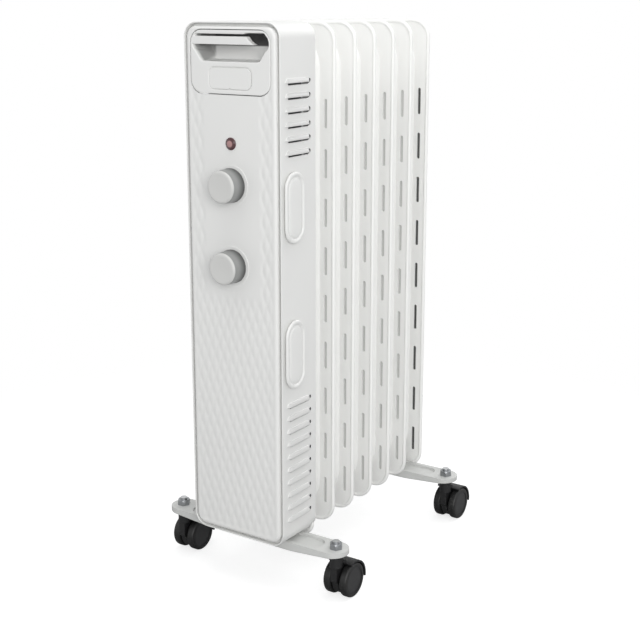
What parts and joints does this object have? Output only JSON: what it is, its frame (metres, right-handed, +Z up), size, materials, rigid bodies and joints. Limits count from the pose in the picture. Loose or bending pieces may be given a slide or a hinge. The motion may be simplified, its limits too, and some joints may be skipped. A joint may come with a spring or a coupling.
{
  "type": "oil filled radiator heater",
  "caption": "Upright oil filled radiator heater with ribbed steel fins, a white control housing with knobs and lamp, a recessed handle, cord cleats and foot bars on twin-wheel casters.",
  "frame": {"origin": "centre of the bounding box's base, on the floor", "axes": "+Z up, -Y towards the user: the control panel faces -Y; +X is to the right of someone who looks at the panel"},
  "size_m": [0.245, 0.3467, 0.62],
  "materials": {
    "enamel": "satin white powder coat",
    "white_plastic": "satin white moulding",
    "grey_plastic": "satin warm grey",
    "dark_plastic": "phenolic, matt",
    "pale_plastic": "nylon, matt",
    "black_plastic": "glass filled nylon, fine texture",
    "wheel_plastic": "satin black",
    "black_rubber": "matt",
    "zinc": "bright zinc plate",
    "zinc_sheet": "galvanised sheet",
    "element_steel": "drawn tube",
    "brass": "turned",
    "red_lens": "clear red, polished",
    "neon_glass": "clear",
    "wire_sleeve": "brown and blue sleeves"
  },
  "bodies": {
    "radiator": {"fin_1": "enamel", "fin_2": "enamel", "fin_3": "enamel", "fin_4": "enamel", "fin_5": "enamel", "fin_6": "enamel", "fin_7": "enamel", "oil_filler_plug": "zinc", "heating_element_low": "element_steel", "heating_element_high": "element_steel", "element_flange": "brass", "element_gasket": "black_rubber", "housing_shell": "enamel", "rear_shield": "zinc_sheet", "front_panel": "white_plastic", "handle_moulding": "white_plastic", "blank_cover": "white_plastic", "cord_cleat_upper": "white_plastic", "cord_cleat_lower": "white_plastic", "control_bracket": "zinc_sheet", "selector_switch": "dark_plastic", "thermostat": "dark_plastic", "dial_rings": "white_plastic", "indicator_lens": "red_lens", "neon_lamp": "neon_glass", "tip_switch_case": "dark_plastic", "thermal_cutout": "dark_plastic", "terminal_block": "pale_plastic", "cable_gland": "black_plastic", "wiring_harness": "wire_sleeve", "housing_screws": "zinc", "front_foot_bar": "enamel", "rear_foot_bar": "enamel", "collector_saddle": "zinc", "collector_u_bolt": "zinc", "wing_nuts": "zinc", "stem_nuts": "zinc", "caster_stems": "zinc"},
    "selector": {"selector_shaft": "zinc", "selector_knob": "grey_plastic"},
    "thermostat_control": {"thermostat_shaft": "zinc", "thermostat_knob": "grey_plastic"},
    "tip_pendulum": {"tip_switch_pendulum": "zinc"},
    "caster_fl": {"caster_fl_frame": "black_plastic", "caster_fl_axle": "zinc"},
    "caster_fl_left_wheel": {"caster_fl_wheel_left": "wheel_plastic"},
    "caster_fl_right_wheel": {"caster_fl_wheel_right": "wheel_plastic"},
    "caster_fr": {"caster_fr_frame": "black_plastic", "caster_fr_axle": "zinc"},
    "caster_fr_left_wheel": {"caster_fr_wheel_left": "wheel_plastic"},
    "caster_fr_right_wheel": {"caster_fr_wheel_right": "wheel_plastic"},
    "caster_rl": {"caster_rl_frame": "black_plastic", "caster_rl_axle": "zinc"},
    "caster_rl_left_wheel": {"caster_rl_wheel_left": "wheel_plastic"},
    "caster_rl_right_wheel": {"caster_rl_wheel_right": "wheel_plastic"},
    "caster_rr": {"caster_rr_frame": "black_plastic", "caster_rr_axle": "zinc"},
    "caster_rr_left_wheel": {"caster_rr_wheel_left": "wheel_plastic"},
    "caster_rr_right_wheel": {"caster_rr_wheel_right": "wheel_plastic"}
  },
  "joints": [
    {"name": "selector_turn", "type": "hinge", "parent": "radiator", "child": "selector", "pos_m": [0, -0.16, 0.454], "axis": [0, -1, 0], "range_deg": [0, 270]},
    {"name": "thermostat_turn", "type": "hinge", "parent": "radiator", "child": "thermostat_control", "pos_m": [0, -0.16, 0.368], "axis": [0, -1, 0], "range_deg": [0, 300]},
    {"name": "tip_pendulum_swing", "type": "hinge", "parent": "radiator", "child": "tip_pendulum", "pos_m": [0, -0.12305, 0.183], "axis": [0, 1, 0], "range_deg": [-15, 15]},
    {"name": "caster_fl_swivel", "type": "hinge", "parent": "radiator", "child": "caster_fl", "pos_m": [-0.1075, -0.11735, 0.04], "axis": [0, 0, 1], "continuous": true},
    {"name": "caster_fl_left_wheel_spin", "type": "hinge", "parent": "caster_fl", "child": "caster_fl_left_wheel", "pos_m": [-0.1075, -0.10185, 0.0195], "axis": [1, 0, 0], "continuous": true},
    {"name": "caster_fl_right_wheel_spin", "type": "hinge", "parent": "caster_fl", "child": "caster_fl_right_wheel", "pos_m": [-0.1075, -0.10185, 0.0195], "axis": [1, 0, 0], "continuous": true},
    {"name": "caster_fr_swivel", "type": "hinge", "parent": "radiator", "child": "caster_fr", "pos_m": [0.1075, -0.11735, 0.04], "axis": [0, 0, 1], "continuous": true},
    {"name": "caster_fr_left_wheel_spin", "type": "hinge", "parent": "caster_fr", "child": "caster_fr_left_wheel", "pos_m": [0.1075, -0.10185, 0.0195], "axis": [1, 0, 0], "continuous": true},
    {"name": "caster_fr_right_wheel_spin", "type": "hinge", "parent": "caster_fr", "child": "caster_fr_right_wheel", "pos_m": [0.1075, -0.10185, 0.0195], "axis": [1, 0, 0], "continuous": true},
    {"name": "caster_rl_swivel", "type": "hinge", "parent": "radiator", "child": "caster_rl", "pos_m": [-0.1075, 0.13515, 0.04], "axis": [0, 0, 1], "continuous": true},
    {"name": "caster_rl_left_wheel_spin", "type": "hinge", "parent": "caster_rl", "child": "caster_rl_left_wheel", "pos_m": [-0.1075, 0.15065, 0.0195], "axis": [1, 0, 0], "continuous": true},
    {"name": "caster_rl_right_wheel_spin", "type": "hinge", "parent": "caster_rl", "child": "caster_rl_right_wheel", "pos_m": [-0.1075, 0.15065, 0.0195], "axis": [1, 0, 0], "continuous": true},
    {"name": "caster_rr_swivel", "type": "hinge", "parent": "radiator", "child": "caster_rr", "pos_m": [0.1075, 0.13515, 0.04], "axis": [0, 0, 1], "continuous": true},
    {"name": "caster_rr_left_wheel_spin", "type": "hinge", "parent": "caster_rr", "child": "caster_rr_left_wheel", "pos_m": [0.1075, 0.15065, 0.0195], "axis": [1, 0, 0], "continuous": true},
    {"name": "caster_rr_right_wheel_spin", "type": "hinge", "parent": "caster_rr", "child": "caster_rr_right_wheel", "pos_m": [0.1075, 0.15065, 0.0195], "axis": [1, 0, 0], "continuous": true}
  ]
}
